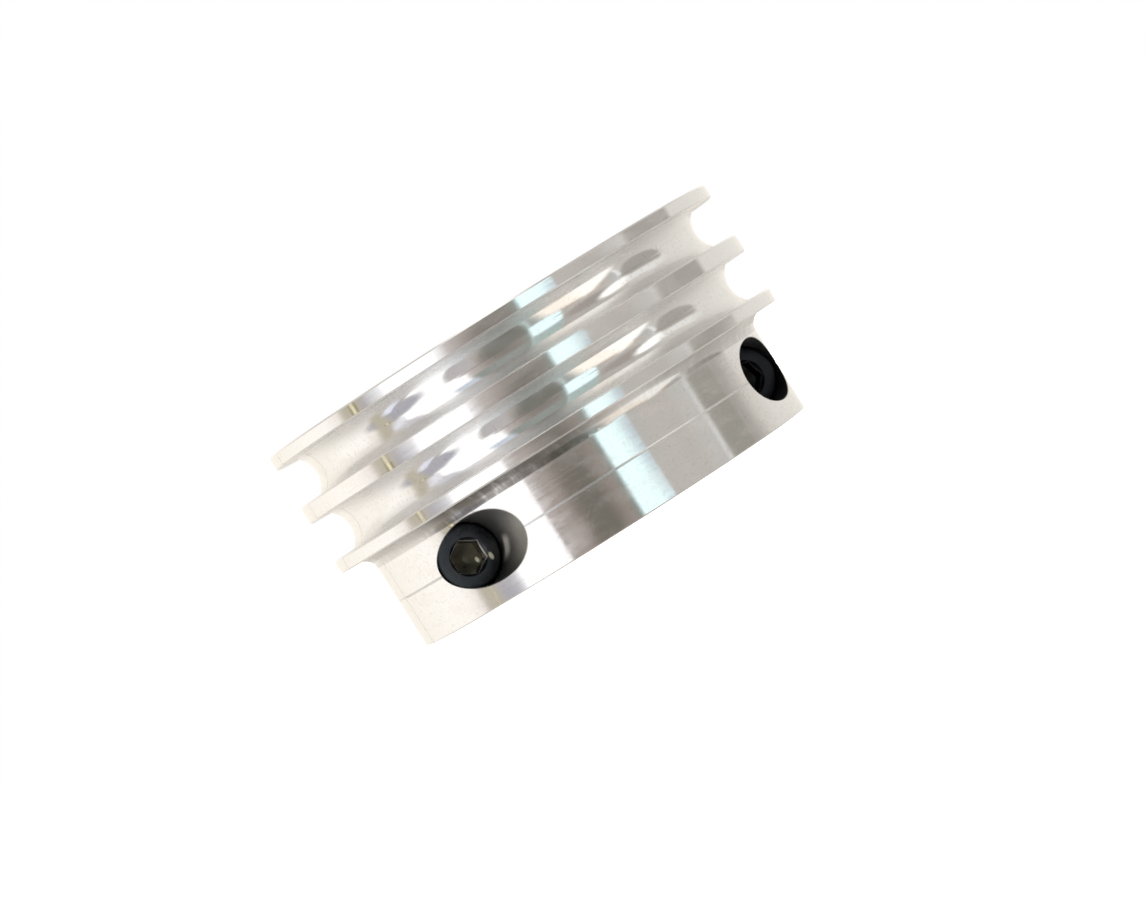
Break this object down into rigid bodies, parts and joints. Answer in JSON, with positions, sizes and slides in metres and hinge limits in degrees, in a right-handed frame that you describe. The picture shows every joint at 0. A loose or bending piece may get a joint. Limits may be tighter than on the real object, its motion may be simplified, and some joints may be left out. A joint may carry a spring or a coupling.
{
  "type": "split clamp pulley",
  "caption": "Two-piece clamp-on aluminium pulley with two round-bottomed belt grooves and a plain hub held by two sunk cap screws.",
  "frame": {"origin": "centre of the bore at the hub's end face", "axes": "+Z along the bore axis from the hub towards the rims; the halves part on the XZ plane and the screw heads face -Y"},
  "size_m": [0.065, 0.065, 0.0306],
  "materials": {
    "turned_aluminium": "fine turned, polished",
    "turned_aluminium_rear": "fine turned, polished",
    "black_screw_left": "black oxide",
    "black_screw_right": "black oxide"
  },
  "bodies": {
    "tapped_half": {"tapped_half": "turned_aluminium_rear"},
    "counterbored_half": {"counterbored_half": "turned_aluminium"},
    "screw_left": {"clamp_screw_left": "black_screw_left"},
    "screw_right": {"clamp_screw_right": "black_screw_right"}
  },
  "joints": [
    {"name": "clamp_opening", "type": "slide", "parent": "tapped_half", "child": "counterbored_half", "axis": [0, -1, 0], "range_m": [-0.00003, 0.008]},
    {"name": "screw_turn_left", "type": "hinge", "parent": "counterbored_half", "child": "screw_left", "pos_m": [-0.0216, -0.0056, 0.007], "axis": [0, -1, 0], "range_deg": [-13.5, 3600]},
    {"name": "screw_turn_right", "type": "hinge", "parent": "counterbored_half", "child": "screw_right", "pos_m": [0.0216, -0.0056, 0.007], "axis": [0, -1, 0], "range_deg": [-13.5, 3600]}
  ],
  "couplings": [
    {"joint": "screw_turn_left", "follows": "clamp_opening", "rad_per_m": 7854},
    {"joint": "screw_turn_right", "follows": "clamp_opening", "rad_per_m": 7854}
  ]
}
